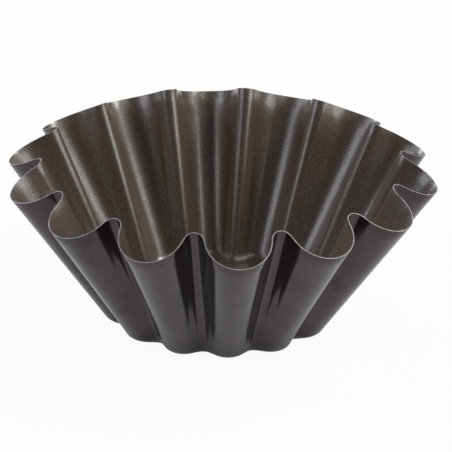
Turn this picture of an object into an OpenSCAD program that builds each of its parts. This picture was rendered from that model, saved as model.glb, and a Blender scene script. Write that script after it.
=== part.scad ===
// Large fluted brioche mould, pressed from one disc of thin coated sheet steel.
// The origin is the centre of the underside of the flat base, and +Z is the axis of the mould.
// The middle of one outward lobe lies at the front, on -Y.
// Sizes are taken on the outer face of the sheet.
// The wall is a fan of straight lines, each from the outline of the foot to that of the rim.

/* [Flutes] */
// Number of flutes round the wall
flute_count = 14; // [12:1:18]
// Thickness of the coated sheet
sheet_t = 0.6; // [0.4:0.1:1.2]

/* [Rim] */
// Diameter of the rim over its outward lobes
rim_d = 220; // [205:1:235]
// Depth of a flute at the rim, from the lobe in to the crest
rim_flute_depth = 18.3; // [14:0.1:20]
// Radius of the tight arc of an inward crest at the rim
rim_crest_arc = 4.8; // [3:0.1:6]
// Length of the straight flank between a lobe and a crest at the rim
rim_flank = 2.8; // [1:0.1:6]
// Height of the cut edge above the table at the inward crests, where it is highest
rim_crest_h = 85.4; // [75:0.1:95]
// Height of the cut edge above the table at the outward lobes, where it dips
rim_lobe_h = 75.3; // [65:0.1:85]

/* [Foot] */
// Diameter over the lobes where the lines of wall and base would meet
foot_d = 118; // [105:1:130]
// Depth of a flute at the foot, from the lobe in to the crest
foot_flute_depth = 5.4; // [3:0.1:7]
// Radius of the arc of an inward crest at the foot
foot_crest_arc = 4; // [3:0.1:5]
// Length of the straight flank between a lobe and a crest at the foot
foot_flank = 4.1; // [1:0.1:6]
// Outer radius of the rounded corner between the wall and the base
corner_r = 7.3; // [4:0.1:9]

/* [Hidden] */

pitch = 360 / flute_count;
// Direction from the axis to the middle of the first lobe, which is at the front
front = -90;

// Steps that draw each round stretch: a lobe's half arc, a crest's half arc and the corner
lobe_steps = 6;
crest_steps = 4;
corner_steps = 3;
// Steps up the straight part of the wall
wall_steps = 1;

coating_colour = [0.27, 0.24, 0.22];

// Point of the plane turned by an angle about the axis
function turned(p, angle) =
    [p.x * cos(angle) - p.y * sin(angle), p.x * sin(angle) + p.y * cos(angle)];

// Half a flute in plan, from the middle of a lobe on +X round to the middle of a crest.
// The lobe's arc has the one radius that lets the straight flank touch both arcs.
function half_flute(lobe_r, depth, crest_arc, flank) =
    let (
        crest_c = (lobe_r - depth + crest_arc) * [cos(pitch / 2), sin(pitch / 2)],
        reach = lobe_r - crest_c.x,
        lobe_arc = (reach ^ 2 + crest_c.y ^ 2 - crest_arc ^ 2 - flank ^ 2) / (2 * (crest_arc + reach)),
        lobe_c = [lobe_r - lobe_arc, 0],
        turn = atan2(crest_c.y, crest_c.x - lobe_c.x) - atan2(flank, lobe_arc + crest_arc)
    )
    [
        for (i = [0 : lobe_steps])
            let (dir = turn * i / lobe_steps)
            lobe_c + lobe_arc * [cos(dir), sin(dir)],
        for (i = [0 : crest_steps])
            let (dir = turn + (pitch / 2 - turn) * i / crest_steps)
            crest_c - crest_arc * [cos(dir), sin(dir)]
    ];

// The closed outline of all flutes, made of mirrored and turned copies of half a flute
function all_flutes(half) =
    let (last = len(half) - 1)
    [
        for (k = [0 : flute_count - 1])
            for (j = [1 - last : last])
                turned(j < 0 ? [half[-j].x, -half[-j].y] : half[j], front + k * pitch)
    ];

rim_plan = all_flutes(half_flute(rim_d / 2, rim_flute_depth, rim_crest_arc, rim_flank));
foot_plan = all_flutes(half_flute(foot_d / 2, foot_flute_depth, foot_crest_arc, foot_flank));
count = len(rim_plan);

// Height of the cut edge, which falls evenly from the crests out to the lobes
function rim_height(p) =
    rim_lobe_h + (rim_crest_h - rim_lobe_h) * (rim_d / 2 - norm(p)) / rim_flute_depth;

// Each line of the wall leans out along its run, at its slope from the level
run = [for (j = [0 : count - 1]) rim_plan[j] - foot_plan[j]];
slope = [for (j = [0 : count - 1]) atan2(rim_height(rim_plan[j]), norm(run[j]))];

// Point of a wall line at a distance out along its run and at a height
function on_line(j, out, up) =
    let (p = foot_plan[j] + run[j] / norm(run[j]) * out)
    [p.x, p.y, up];

// Point of the rounded corner after the sheet has turned up by an angle
function corner_point(j, angle) =
    on_line(j, corner_r * (sin(angle) - tan(slope[j] / 2)), corner_r * (1 - cos(angle)));

// Outer face, one ring of points a row: round the corner, then straight up to the cut edge
outer = concat(
    [
        for (i = [0 : corner_steps])
            [for (j = [0 : count - 1]) corner_point(j, slope[j] * i / corner_steps)]
    ],
    [
        for (i = [1 : wall_steps])
            [
                for (j = [0 : count - 1])
                    let (
                        low = corner_point(j, slope[j]),
                        top = on_line(j, norm(run[j]), rim_height(rim_plan[j]))
                    )
                    low + (top - low) * i / wall_steps
            ]
    ]
);
rows = len(outer);

// Direction in which the sheet climbs at a row
function climb(i, j) =
    let (angle = slope[j] * min(i / corner_steps, 1), dir = run[j] / norm(run[j]))
    [dir.x * cos(angle), dir.y * cos(angle), sin(angle)];

// Unit vector from the outer face of the sheet to its inner face
function inward(i, j) =
    let (
        along = outer[i][(j + 1) % count] - outer[i][(j + count - 1) % count],
        square = cross(climb(i, j), along)
    )
    square / norm(square);

inner = [
    for (i = [0 : rows - 1])
        [for (j = [0 : count - 1]) outer[i][j] + sheet_t * inward(i, j)]
];

// Two triangles across the four corners of a patch, given clockwise as seen from outside
function patch(a, b, c, d) = [[a, b, c], [a, c, d]];

// The fluted wall with its rounded corner: outer rings 0 to rows - 1, then the inner rings
module fluted_wall() {
    polyhedron(
        points = [for (ring = concat(outer, inner)) each ring],
        faces = [
            for (j = [0 : count - 1])
                let (next = (j + 1) % count)
                each concat(
                    [
                        for (i = [0 : rows - 2])
                            let (low = i * count, high = low + count, depth = rows * count)
                            each concat(
                                patch(low + j, high + j, high + next, low + next),
                                patch(
                                    depth + low + j, depth + low + next,
                                    depth + high + next, depth + high + j
                                )
                            )
                    ],
                    let (edge = (rows - 1) * count, inside = rows * count)
                    concat(
                        patch(edge + j, inside + edge + j, inside + edge + next, edge + next),
                        patch(j, next, inside + next, inside + j)
                    )
                )
        ],
        convexity = 8
    );
}

// The flat base, out to where the corner begins to turn up: a fan of triangles on each face
module flat_base() {
    below = 0;
    above = count + 1;
    polyhedron(
        points = concat([[0, 0, 0]], outer[0], [[0, 0, sheet_t]], inner[0]),
        faces = [
            for (j = [0 : count - 1])
                let (here = j + 1, next = (j + 1) % count + 1)
                each concat(
                    [[below, here, next], [above, above + next, above + here]],
                    patch(here, above + here, above + next, next)
                )
        ]
    );
}

module fluted_shell() {
    color(coating_colour) union() {
        fluted_wall();
        flat_base();
    }
}

fluted_shell();
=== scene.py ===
"""Looks of a large fluted brioche mould, pressed from one disc of coated sheet steel.

The mould is modelled as a metal presser would lay it out: half a flute is drawn in plan at
the foot and at the rim, the wall is stretched between the two lines, mirrored and copied
round, the base is closed with a rounded corner, and the sheet gets its thickness and its
bare cut edge. Everything is in metres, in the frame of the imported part.
"""

import logging
import math
from dataclasses import dataclass, field
from enum import Enum
from typing import Any

import bpy
from mathutils import Matrix, Vector


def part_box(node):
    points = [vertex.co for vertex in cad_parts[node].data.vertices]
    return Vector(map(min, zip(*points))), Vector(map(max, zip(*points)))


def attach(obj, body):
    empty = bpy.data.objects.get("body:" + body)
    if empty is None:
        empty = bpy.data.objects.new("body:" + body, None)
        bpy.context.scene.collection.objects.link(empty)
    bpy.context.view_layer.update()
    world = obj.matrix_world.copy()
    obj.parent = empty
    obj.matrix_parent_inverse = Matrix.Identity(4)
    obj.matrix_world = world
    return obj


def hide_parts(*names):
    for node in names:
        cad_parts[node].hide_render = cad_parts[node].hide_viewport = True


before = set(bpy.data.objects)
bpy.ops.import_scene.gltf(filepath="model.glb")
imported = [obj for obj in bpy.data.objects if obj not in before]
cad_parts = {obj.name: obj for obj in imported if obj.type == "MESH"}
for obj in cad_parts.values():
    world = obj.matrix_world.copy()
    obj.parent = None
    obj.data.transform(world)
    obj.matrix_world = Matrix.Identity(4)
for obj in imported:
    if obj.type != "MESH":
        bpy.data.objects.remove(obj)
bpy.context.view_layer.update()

MM = 0.001
NODE = "fluted_shell"
BODY = "root"
MERGE = 0.001 * MM  # vertices closer than this are one
COUNTER_CLOCKWISE = (0, 0, -1)  # spin turns clockwise about its axis, as seen from the axis's tip

log = logging.getLogger("brioche_mould")


class Face(Enum):
    """The three kinds of surface on the sheet, in the order of the material slots."""

    OUTSIDE = 0
    INSIDE = 1
    CUT_EDGE = 2


def linear(colour: str) -> tuple[float, float, float, float]:
    """Turns an sRGB hex colour into the linear one that a shader takes.

    Args:
        colour: The colour as six hex digits after a hash mark.

    Returns:
        Red, green and blue from 0 to 1 in linear light, and an alpha of 1.
    """
    steps = [int(colour[i:i + 2], 16) / 255 for i in (1, 3, 5)]
    channels = [s / 12.92 if s <= 0.04045 else ((s + 0.055) / 1.055) ** 2.4 for s in steps]
    return (channels[0], channels[1], channels[2], 1.0)


def add_node(tree: bpy.types.NodeTree, kind: str, inputs: dict[str | int, Any] | None = None,
             **settings: Any) -> bpy.types.Node:
    """Adds a shader node with its settings, values and links.

    Args:
        tree: The node tree that takes the node.
        kind: The node's type, such as ShaderNodeTexNoise.
        inputs: A value, or a socket to link from, for each input by name or number.
        **settings: The node's own properties.

    Returns:
        The new node.
    """
    node = tree.nodes.new(kind)
    for name, value in settings.items():
        setattr(node, name, value)
    for name, value in (inputs or {}).items():
        if isinstance(value, bpy.types.NodeSocket):
            tree.links.new(value, node.inputs[name])
        else:
            node.inputs[name].default_value = value
    return node


def add_ramp(tree: bpy.types.NodeTree, factor: bpy.types.NodeSocket,
             stops: dict[float, str]) -> bpy.types.NodeSocket:
    """Adds a colour ramp and gives its colour output.

    Args:
        tree: The node tree that takes the ramp.
        factor: The socket that drives the ramp.
        stops: The sRGB hex colour at each place from 0 to 1, two or more.

    Returns:
        The ramp's colour socket.
    """
    ramp = add_node(tree, "ShaderNodeValToRGB", {"Fac": factor})
    elements = ramp.color_ramp.elements
    while len(elements) < len(stops):
        elements.new(0.5)
    for element, (place, colour) in zip(elements, sorted(stops.items())):
        element.position = place
        element.color = linear(colour)
    return ramp.outputs["Color"]


def new_material(name: str) -> tuple[bpy.types.Material, bpy.types.NodeTree]:
    """Makes an empty node material.

    Args:
        name: The material's name.

    Returns:
        The material and its cleared node tree.
    """
    material = bpy.data.materials.new(name)
    material.use_nodes = True
    material.node_tree.nodes.clear()
    return material, material.node_tree


def finish_material(tree: bpy.types.NodeTree, shader: bpy.types.Node) -> None:
    """Links a shader to the material's output.

    Args:
        tree: The material's node tree.
        shader: The node whose first output is the surface.
    """
    add_node(tree, "ShaderNodeOutputMaterial", {"Surface": shader.outputs[0]})


@dataclass(frozen=True)
class InsideCoating:
    """Non-stick PTFE coating with mica flakes, sprayed and baked: satin brown under a clear skin.

    The eye sees a warm brown body, a broad grey sheen with a fine sandy sparkle from the
    flakes, and a narrower bright line from the clear skin along each crest.
    """

    grain: float = 0.6 * MM  # the flakes are about 0.1 mm, and drawn as coarse as they need to show
    dark: str = "#4d4031"
    middle: str = "#594a3a"
    light: str = "#695948"
    flake_index: float = 2.0
    flake_roughness: float = 0.42
    flake_spread: float = 0.07
    least_sparkle: float = 0.2
    most_sparkle: float = 0.8
    pimple_height: float = 0.05 * MM
    pimple_strength: float = 0.6
    skin_index: float = 1.5
    skin_share: float = 0.9
    skin_roughness: float = 0.21

    def material(self) -> bpy.types.Material:
        """Builds the coating's material.

        Returns:
            The material for the inside of the sheet.
        """
        material, tree = new_material("non_stick_inside")
        place = add_node(tree, "ShaderNodeTexCoord").outputs["Object"]
        speck = add_node(tree, "ShaderNodeTexNoise", {
            "Vector": place, "Scale": 1 / self.grain, "Detail": 3.0, "Roughness": 0.65})
        colour = add_ramp(tree, speck.outputs["Fac"],
                          {0.34: self.dark, 0.52: self.middle, 0.70: self.light})
        rough = add_node(tree, "ShaderNodeMapRange", {
            "Value": speck.outputs["Fac"], "From Min": 0.3, "From Max": 0.7,
            "To Min": self.flake_roughness + self.flake_spread,
            "To Max": self.flake_roughness - self.flake_spread})
        sparkle = add_node(tree, "ShaderNodeMapRange", {
            "Value": speck.outputs["Fac"], "From Min": 0.36, "From Max": 0.64,
            "To Min": self.least_sparkle, "To Max": self.most_sparkle})
        bump = add_node(tree, "ShaderNodeBump", {
            "Height": speck.outputs["Fac"], "Strength": self.pimple_strength,
            "Distance": self.pimple_height})
        shader = add_node(tree, "ShaderNodeBsdfPrincipled", {
            "Base Color": colour, "Roughness": rough.outputs["Result"],
            "IOR": self.flake_index, "Specular IOR Level": sparkle.outputs["Result"],
            "Normal": bump.outputs["Normal"],
            "Coat Weight": self.skin_share, "Coat Roughness": self.skin_roughness,
            "Coat IOR": self.skin_index, "Coat Normal": bump.outputs["Normal"]})
        finish_material(tree, shader)
        return material


@dataclass(frozen=True)
class OutsideLacquer:
    """Heat-proof lacquer, rolled on the outside of the sheet and baked: dark, thin and glossy.

    The eye sees clear dark and pale reflections that waver a little with the pressed sheet,
    turn softer towards the foot, and are dimmed here and there by faint wipe marks.
    """

    base: str = "#130d09"
    cloud: str = "#1b130e"
    tint: str = "#ffedf3"
    index: float = 1.65
    roughness: float = 0.15
    foot_roughness: float = 0.3
    foot_height: float = 45 * MM
    waver: float = 30 * MM
    waver_depth: float = 0.2 * MM
    waver_strength: float = 0.3
    smudge: float = 16 * MM
    clean_gloss: float = 0.5
    smudged_gloss: float = 0.38

    def material(self) -> bpy.types.Material:
        """Builds the lacquer's material.

        Returns:
            The material for the outside of the sheet.
        """
        material, tree = new_material("lacquer_outside")
        place = add_node(tree, "ShaderNodeTexCoord").outputs["Object"]
        cloud = add_node(tree, "ShaderNodeTexNoise", {
            "Vector": place, "Scale": 1 / self.waver, "Detail": 2.0, "Roughness": 0.5})
        colour = add_ramp(tree, cloud.outputs["Fac"], {0.35: self.base, 0.65: self.cloud})
        bump = add_node(tree, "ShaderNodeBump", {
            "Height": cloud.outputs["Fac"], "Strength": self.waver_strength,
            "Distance": self.waver_depth})
        smudge = add_node(tree, "ShaderNodeTexNoise", {
            "Vector": place, "Scale": 1 / self.smudge, "Detail": 3.0, "Roughness": 0.55,
            "Distortion": 0.3})
        gloss = add_node(tree, "ShaderNodeMapRange", {
            "Value": smudge.outputs["Fac"], "From Min": 0.5, "From Max": 0.7,
            "To Min": self.clean_gloss, "To Max": self.smudged_gloss})
        height = add_node(tree, "ShaderNodeSeparateXYZ", {"Vector": place})
        rough = add_node(tree, "ShaderNodeMapRange", {
            "Value": height.outputs["Z"], "From Min": 0.0, "From Max": self.foot_height,
            "To Min": self.foot_roughness, "To Max": self.roughness})
        shader = add_node(tree, "ShaderNodeBsdfPrincipled", {
            "Base Color": colour, "Roughness": rough.outputs["Result"], "IOR": self.index,
            "Specular IOR Level": gloss.outputs["Result"],
            "Specular Tint": linear(self.tint), "Normal": bump.outputs["Normal"]})
        finish_material(tree, shader)
        return material


@dataclass(frozen=True)
class CutEdge:
    """Bare mild steel, sheared after coating and left raw.

    The eye sees a thin, matt, pale grey line along the rim, brighter and duller in streaks.
    """

    bright: str = "#c0bfbd"
    dull: str = "#9a9997"
    streak: float = 2.5 * MM
    roughness: float = 0.7

    def material(self) -> bpy.types.Material:
        """Builds the cut edge's material.

        Returns:
            The material for the rim's raw edge.
        """
        material, tree = new_material("bare_cut_edge")
        place = add_node(tree, "ShaderNodeTexCoord").outputs["Object"]
        streak = add_node(tree, "ShaderNodeTexNoise", {
            "Vector": place, "Scale": 1 / self.streak, "Detail": 4.0, "Roughness": 0.6})
        colour = add_ramp(tree, streak.outputs["Fac"], {0.35: self.dull, 0.65: self.bright})
        shader = add_node(tree, "ShaderNodeBsdfPrincipled", {
            "Base Color": colour, "Roughness": self.roughness, "Metallic": 1.0})
        finish_material(tree, shader)
        return material


Finish = InsideCoating | OutsideLacquer | CutEdge


@dataclass(frozen=True)
class FluteOutline:
    """Half a flute in plan: a wide lobe, a short straight flank and a tight crest.

    It is worked out with the lobe's middle on +X, and turned to the front, -Y, when drawn.
    """

    radius: float
    depth: float
    crest_arc: float
    flank: float
    half_pitch: float

    @staticmethod
    def to_front(x: float, y: float) -> Vector:
        """Turns a plan point from the +X side to the front."""
        return Vector((y, -x, 0.0))

    @property
    def crest_centre(self) -> tuple[float, float]:
        """Centre of the crest's arc, outside the wall."""
        reach = self.radius - self.depth + self.crest_arc
        return reach * math.cos(self.half_pitch), reach * math.sin(self.half_pitch)

    @property
    def lobe_arc(self) -> float:
        """Works out the lobe's arc, which the straight flank joins to the crest's.

        Returns:
            The radius at which the flank touches both arcs.
        """
        x, y = self.crest_centre
        reach = self.radius - x
        square = reach ** 2 + y ** 2 - self.crest_arc ** 2 - self.flank ** 2
        return square / (2 * (self.crest_arc + reach))

    @property
    def turn(self) -> float:
        """Works out how far round the lobe's half arc goes.

        Returns:
            The angle in radians, which is also the flank's.
        """
        x, y = self.crest_centre
        across = math.atan2(y, x - self.radius + self.lobe_arc)
        return across - math.atan2(self.flank, self.lobe_arc + self.crest_arc)

    def draw(self, lobe_steps: int, flank_steps: int, crest_steps: int) -> None:
        """Draws the line of vertices in edit mode, from the lobe's middle to the crest's.

        Args:
            lobe_steps: Edges on the lobe's half arc.
            flank_steps: Edges on the straight flank.
            crest_steps: Edges on the crest's half arc.
        """
        bpy.ops.mesh.primitive_plane_add(size=MM, location=self.to_front(self.radius, 0.0))
        bpy.ops.mesh.merge(type="CENTER")
        bpy.ops.mesh.spin(steps=lobe_steps, angle=self.turn, axis=COUNTER_CLOCKWISE,
                          center=self.to_front(self.radius - self.lobe_arc, 0.0))
        step = self.flank / flank_steps
        along = self.to_front(-step * math.sin(self.turn), step * math.cos(self.turn))
        for _ in range(flank_steps):
            bpy.ops.mesh.extrude_region_move(TRANSFORM_OT_translate={"value": along})
        bpy.ops.mesh.spin(steps=crest_steps, angle=self.half_pitch - self.turn,
                          axis=COUNTER_CLOCKWISE, center=self.to_front(*self.crest_centre))


@dataclass
class FlutedShell:
    """The whole mould: one pressed sheet with a fluted wall, a rounded corner and a base.

    The sizes are those of the outer face. Corners sharper than the edge angle are softened,
    and faces that meet at less than the smooth angle are shaded as one, both in degrees.
    """

    flutes: int = 14
    rim_depth: float = 18.3 * MM
    rim_crest_arc: float = 4.8 * MM
    rim_flank: float = 2.8 * MM
    rim_crest_height: float = 85.4 * MM
    rim_lobe_height: float = 75.3 * MM
    foot_radius: float = 59.0 * MM
    foot_depth: float = 5.4 * MM
    foot_crest_arc: float = 4.0 * MM
    foot_flank: float = 4.1 * MM
    corner_reach: float = 4.2 * MM
    sheet: float = 0.6 * MM
    edge_round: float = 0.12 * MM
    edge_angle: float = 60.0
    smooth_angle: float = 40.0
    lobe_steps: int = 20
    flank_steps: int = 4
    crest_steps: int = 14
    wall_rows: int = 12
    corner_rows: int = 8
    finishes: dict[Face, Finish] = field(default_factory=lambda: {
        Face.OUTSIDE: OutsideLacquer(), Face.INSIDE: InsideCoating(), Face.CUT_EDGE: CutEdge()})

    @property
    def rim_radius(self) -> float:
        """Radius of the rim over its lobes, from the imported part."""
        low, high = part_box(NODE)
        return (high.y - low.y) / 2

    def outline(self, at_rim: bool) -> FluteOutline:
        """Gives the plan of half a flute.

        Args:
            at_rim: Whether the rim's outline is asked for, and not the foot's.

        Returns:
            The outline at that level.
        """
        half_pitch = math.pi / self.flutes
        if at_rim:
            return FluteOutline(self.rim_radius, self.rim_depth, self.rim_crest_arc,
                                self.rim_flank, half_pitch)
        return FluteOutline(self.foot_radius, self.foot_depth, self.foot_crest_arc,
                            self.foot_flank, half_pitch)

    def rim_height(self, place: Vector) -> float:
        """Height of the cut edge over a plan point: high at the crests, low at the lobes."""
        share = (self.rim_radius - place.xy.length) / self.rim_depth
        return self.rim_lobe_height + (self.rim_crest_height - self.rim_lobe_height) * share

    def build(self) -> bpy.types.Object:
        """Models the shell and dresses it.

        Returns:
            The finished piece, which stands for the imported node.
        """
        bpy.ops.object.select_all(action="DESELECT")
        bpy.ops.mesh.primitive_plane_add(size=MM)
        shell = bpy.context.object
        shell.name = "fluted_shell_sheet"
        bpy.ops.object.mode_set(mode="EDIT")
        bpy.ops.mesh.select_all(action="SELECT")
        bpy.ops.mesh.delete(type="VERT")
        self._stretch_wall(shell)
        self._copy_round(shell)
        self._close_base(shell)
        for face in Face:
            shell.data.materials.append(self.finishes[face].material())
        self._give_thickness(shell)
        return shell

    def _stretch_wall(self, shell: bpy.types.Object) -> None:
        """Draws half a flute at the rim and at the foot and bridges the two lines.

        Args:
            shell: The object, empty and in edit mode.
        """
        self.outline(at_rim=True).draw(self.lobe_steps, self.flank_steps, self.crest_steps)
        bpy.ops.object.mode_set(mode="OBJECT")
        for vertex in shell.data.vertices:
            vertex.co.z = self.rim_height(vertex.co)
        bpy.ops.object.mode_set(mode="EDIT")
        self.outline(at_rim=False).draw(self.lobe_steps, self.flank_steps, self.crest_steps)
        bpy.ops.mesh.select_all(action="SELECT")
        bpy.ops.mesh.bridge_edge_loops(type="SINGLE", number_cuts=self.wall_rows - 1,
                                       interpolation="LINEAR")
        bpy.ops.object.mode_set(mode="OBJECT")

    def _copy_round(self, shell: bpy.types.Object) -> None:
        """Mirrors the half flute about the lobe's middle and copies it round the axis.

        Args:
            shell: The object with half a flute.
        """
        mirror = shell.modifiers.new("other_half", "MIRROR")
        mirror.merge_threshold = MERGE
        bpy.ops.object.modifier_apply(modifier=mirror.name)
        bpy.ops.object.mode_set(mode="EDIT")
        bpy.ops.mesh.select_all(action="SELECT")
        copies = self.flutes - 1
        bpy.ops.mesh.spin(steps=copies, dupli=True, angle=2 * math.pi * copies / self.flutes,
                          center=(0, 0, 0), axis=COUNTER_CLOCKWISE)
        bpy.ops.mesh.select_all(action="SELECT")
        bpy.ops.mesh.remove_doubles(threshold=MERGE)
        bpy.ops.object.mode_set(mode="OBJECT")

    def _close_base(self, shell: bpy.types.Object) -> None:
        """Fills the base, rounds the corner of base and wall, and faces all outwards.

        Args:
            shell: The object with the whole wall.
        """
        bpy.ops.object.mode_set(mode="EDIT")
        bpy.ops.mesh.select_all(action="DESELECT")
        bpy.ops.object.mode_set(mode="OBJECT")
        heights = [vertex.co.z for vertex in shell.data.vertices]
        for edge in shell.data.edges:
            edge.select = all(heights[i] < MERGE for i in edge.vertices)
        bpy.ops.object.mode_set(mode="EDIT")
        bpy.ops.mesh.select_mode(type="EDGE")
        bpy.ops.mesh.edge_face_add()
        bpy.ops.mesh.select_mode(type="EDGE")
        bpy.ops.mesh.bevel(offset_type="OFFSET", offset=self.corner_reach,
                           segments=self.corner_rows, affect="EDGES", clamp_overlap=False)
        bpy.ops.mesh.select_all(action="SELECT")
        bpy.ops.mesh.normals_make_consistent(inside=False)
        bpy.ops.object.mode_set(mode="OBJECT")
        # The base is the largest face on the axis, and it has to look down
        base = min(shell.data.polygons, key=lambda p: (p.center.xy.length, -p.area))
        if base.normal.z > 0:
            shell.data.flip_normals()

    def _give_thickness(self, shell: bpy.types.Object) -> None:
        """Gives the sheet its thickness inwards and softens the corners of the cut edge.

        Args:
            shell: The object with the wall and the base, facing outwards.
        """
        wall = shell.modifiers.new("sheet", "SOLIDIFY")
        wall.thickness = self.sheet
        wall.offset = -1.0
        wall.use_even_offset = True
        wall.material_offset = Face.INSIDE.value
        wall.material_offset_rim = Face.CUT_EDGE.value
        bpy.ops.object.modifier_apply(modifier=wall.name)
        soft = shell.modifiers.new("soft_edge", "BEVEL")
        soft.width = self.edge_round
        soft.segments = 2
        soft.limit_method = "ANGLE"
        soft.angle_limit = math.radians(self.edge_angle)
        bpy.ops.object.modifier_apply(modifier=soft.name)
        bpy.ops.object.shade_smooth_by_angle(angle=math.radians(self.smooth_angle))

    def dress(self) -> bpy.types.Object:
        """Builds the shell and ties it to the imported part.

        Returns:
            The piece, riding on the part's one body.
        """
        shell = self.build()
        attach(shell, BODY)
        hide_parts(NODE)
        return shell


@dataclass(frozen=True)
class SoftBox:
    """A soft box of the studio, which faces the mould.

    Turn is its place round the mould, in degrees to the right of the front, and rise its
    height as an angle in degrees above the floor. Radiance is how bright its face is, where
    1 is white.
    """

    name: str
    turn: float
    rise: float
    width: float
    height: float
    radiance: float
    colour: str

    def place(self, target: Vector, distance: float) -> bpy.types.Object:
        """Adds the lamp.

        Args:
            target: The point that it faces.
            distance: How far from that point it stands.

        Returns:
            The lamp.
        """
        data = bpy.data.lights.new(self.name, "AREA")
        data.shape = "RECTANGLE"
        data.size = self.width
        data.size_y = self.height
        data.energy = self.radiance * math.pi * self.width * self.height
        data.color = linear(self.colour)[:3]
        lamp = bpy.data.objects.new(self.name, data)
        turn = math.radians(self.turn)
        rise = math.radians(self.rise)
        level = distance * math.cos(rise)
        lamp.location = target + Vector((
            level * math.sin(turn), -level * math.cos(turn), distance * math.sin(rise)))
        lamp.rotation_euler = (target - lamp.location).to_track_quat("-Z", "Y").to_euler()
        bpy.context.scene.collection.objects.link(lamp)
        return lamp


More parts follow.
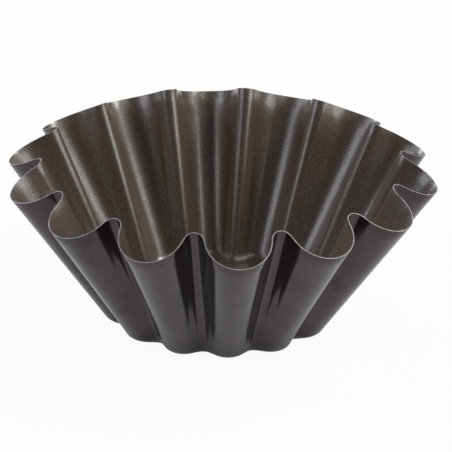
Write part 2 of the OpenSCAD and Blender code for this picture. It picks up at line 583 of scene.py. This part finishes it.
@dataclass
class Studio:
    """The plain floor, the soft lights and the camera of the photograph's view.

    The camera's turn, elevation and roll are in radians, and its lens and sensor in mm. The
    floor's glow, as the lacquer mirrors it, carries a painted shade of the mould: it is at its
    painted-shade share up to the painted-shade radius from the mould's axis, and at its full
    strength from the clear radius on.
    """

    turn: float = 0.0933
    elevation: float = 0.4432
    roll: float = 0.0184
    distance: float = 1.41435
    aim_side: float = 2.75 * MM
    aim_height: float = 46.4 * MM
    lens: float = 219.55
    sensor: float = 36.0
    farthest: float = 20.0
    floor_size: float = 12.0
    floor_colour: str = "#f4f4f4"
    glow_colour: str = "#ffffff"
    glow_seen: float = 0.95
    glow_mirrored: float = 0.65
    # painted shade of the mould in the mirrored floor glow: its share near the axis, and where it
    # ends
    painted_shade_share: float = 0.45
    painted_shade_radius: float = 55 * MM
    clear_radius: float = 70 * MM
    lamp_distance: float = 2.0
    lamps: tuple[SoftBox, ...] = (
        SoftBox("left_box", -73, 29, 1.18, 0.81, 2.4, "#f5f5ff"),
        SoftBox("back_left_box", -106, 42, 0.92, 0.71, 1.8, "#f5f5ff"),
        SoftBox("right_box", 65.5, 20.5, 1.38, 1.15, 2.6, "#fffdfc"),
        SoftBox("right_strip", 105, 51, 1.0, 0.6, 11.0, "#fffdfc"),
        SoftBox("back_box", -149, 28, 1.15, 0.49, 8.0, "#f2f3ff"),
        SoftBox("top_box", 36, 68, 0.7, 0.6, 2.2, "#fffdfc"))
    sky_colour: str = "#eef2ff"
    sky_strength: float = 0.04

    def camera(self) -> bpy.types.Object:
        """Sets the camera at the photograph's angle.

        Returns:
            The camera, made the scene's own.
        """
        side = Vector((math.cos(self.turn), -math.sin(self.turn), 0))
        ahead = Vector((math.sin(self.turn), math.cos(self.turn), 0))
        back = math.sin(self.elevation) * Vector((0, 0, 1)) - math.cos(self.elevation) * ahead
        aim = self.aim_side * side + self.aim_height * Vector((0, 0, 1))
        data = bpy.data.cameras.new("camera")
        data.lens = self.lens
        data.sensor_width = self.sensor
        data.clip_end = self.farthest
        camera = bpy.data.objects.new("camera", data)
        bpy.context.scene.collection.objects.link(camera)
        axes = Matrix((side, back.cross(side), back)).transposed()
        spin = Matrix.Rotation(self.roll, 3, "Z")
        place = Matrix.Translation(aim + self.distance * back)
        camera.matrix_world = place @ (axes @ spin).to_4x4()
        bpy.context.scene.camera = camera
        return camera

    def floor_paper(self) -> bpy.types.Material:
        """Builds the floor's paper: white to the eye and in the lacquer, and matt for shadows.

        The lacquer mirrors it darker close to the feet, through a painted shade of the mould in its
        glow.

        Returns:
            The material, whose glow lights nothing.
        """
        material, tree = new_material("pale_floor")
        material.cycles.emission_sampling = "NONE"
        path = add_node(tree, "ShaderNodeLightPath")
        mirrored = add_node(tree, "ShaderNodeMath", {
            0: path.outputs["Is Glossy Ray"], 1: path.outputs["Is Transmission Ray"]},
            operation="MAXIMUM")
        seen = add_node(tree, "ShaderNodeMath", {
            0: path.outputs["Is Camera Ray"], 1: self.glow_seen}, operation="MULTIPLY")
        place = add_node(tree, "ShaderNodeTexCoord").outputs["Object"]
        radius = add_node(tree, "ShaderNodeVectorMath", {0: place}, operation="LENGTH")
        # painted shade: the mirrored glow is dimmed near the mould's axis, as if the mould shaded
        # the floor there
        glow_with_painted_shade = add_node(tree, "ShaderNodeMapRange", {
            "Value": radius.outputs["Value"],
            "From Min": self.painted_shade_radius, "From Max": self.clear_radius,
            "To Min": self.painted_shade_share * self.glow_mirrored, "To Max": self.glow_mirrored},
            interpolation_type="SMOOTHSTEP")
        share = add_node(tree, "ShaderNodeMath", {
            0: mirrored.outputs[0], 1: glow_with_painted_shade.outputs["Result"], 2: seen.outputs[0]},
            operation="MULTIPLY_ADD")
        paint = add_node(tree, "ShaderNodeBsdfDiffuse", {"Color": linear(self.floor_colour)})
        glow = add_node(tree, "ShaderNodeEmission", {
            "Color": linear(self.glow_colour), "Strength": 1.0})
        mix = add_node(tree, "ShaderNodeMixShader", {
            0: share.outputs[0], 1: paint.outputs[0], 2: glow.outputs[0]})
        finish_material(tree, mix)
        return material

    def floor(self) -> bpy.types.Object:
        """Lays the pale floor, which shows white and keeps the mould's shadow.

        Returns:
            The floor.
        """
        bpy.ops.object.select_all(action="DESELECT")
        bpy.ops.mesh.primitive_plane_add(size=self.floor_size)
        floor = bpy.context.object
        floor.name = "studio_floor"
        floor.data.materials.append(self.floor_paper())
        return floor

    def light(self) -> None:
        """Sets the soft boxes and the plain sky."""
        target = Vector((0, 0, self.aim_height))
        for box in self.lamps:
            log.info("%s set", box.place(target, self.lamp_distance).name)
        sky = bpy.data.worlds.new("studio")
        sky.use_nodes = True
        shade = sky.node_tree.nodes["Background"]
        shade.inputs["Color"].default_value = linear(self.sky_colour)
        shade.inputs["Strength"].default_value = self.sky_strength
        bpy.context.scene.world = sky


def main() -> None:
    """Builds the mould and the studio and reports each piece."""
    logging.basicConfig(level=logging.INFO, format="%(name)s: %(message)s")
    scene = bpy.context.scene
    scene.view_settings.view_transform = "Standard"
    shell = FlutedShell().dress()
    log.info("%s: %d faces", shell.name, len(shell.data.polygons))
    studio = Studio()
    for piece in (studio.floor(), studio.camera()):
        log.info("%s set", piece.name)
    studio.light()


if __name__ == "__main__":
    main()
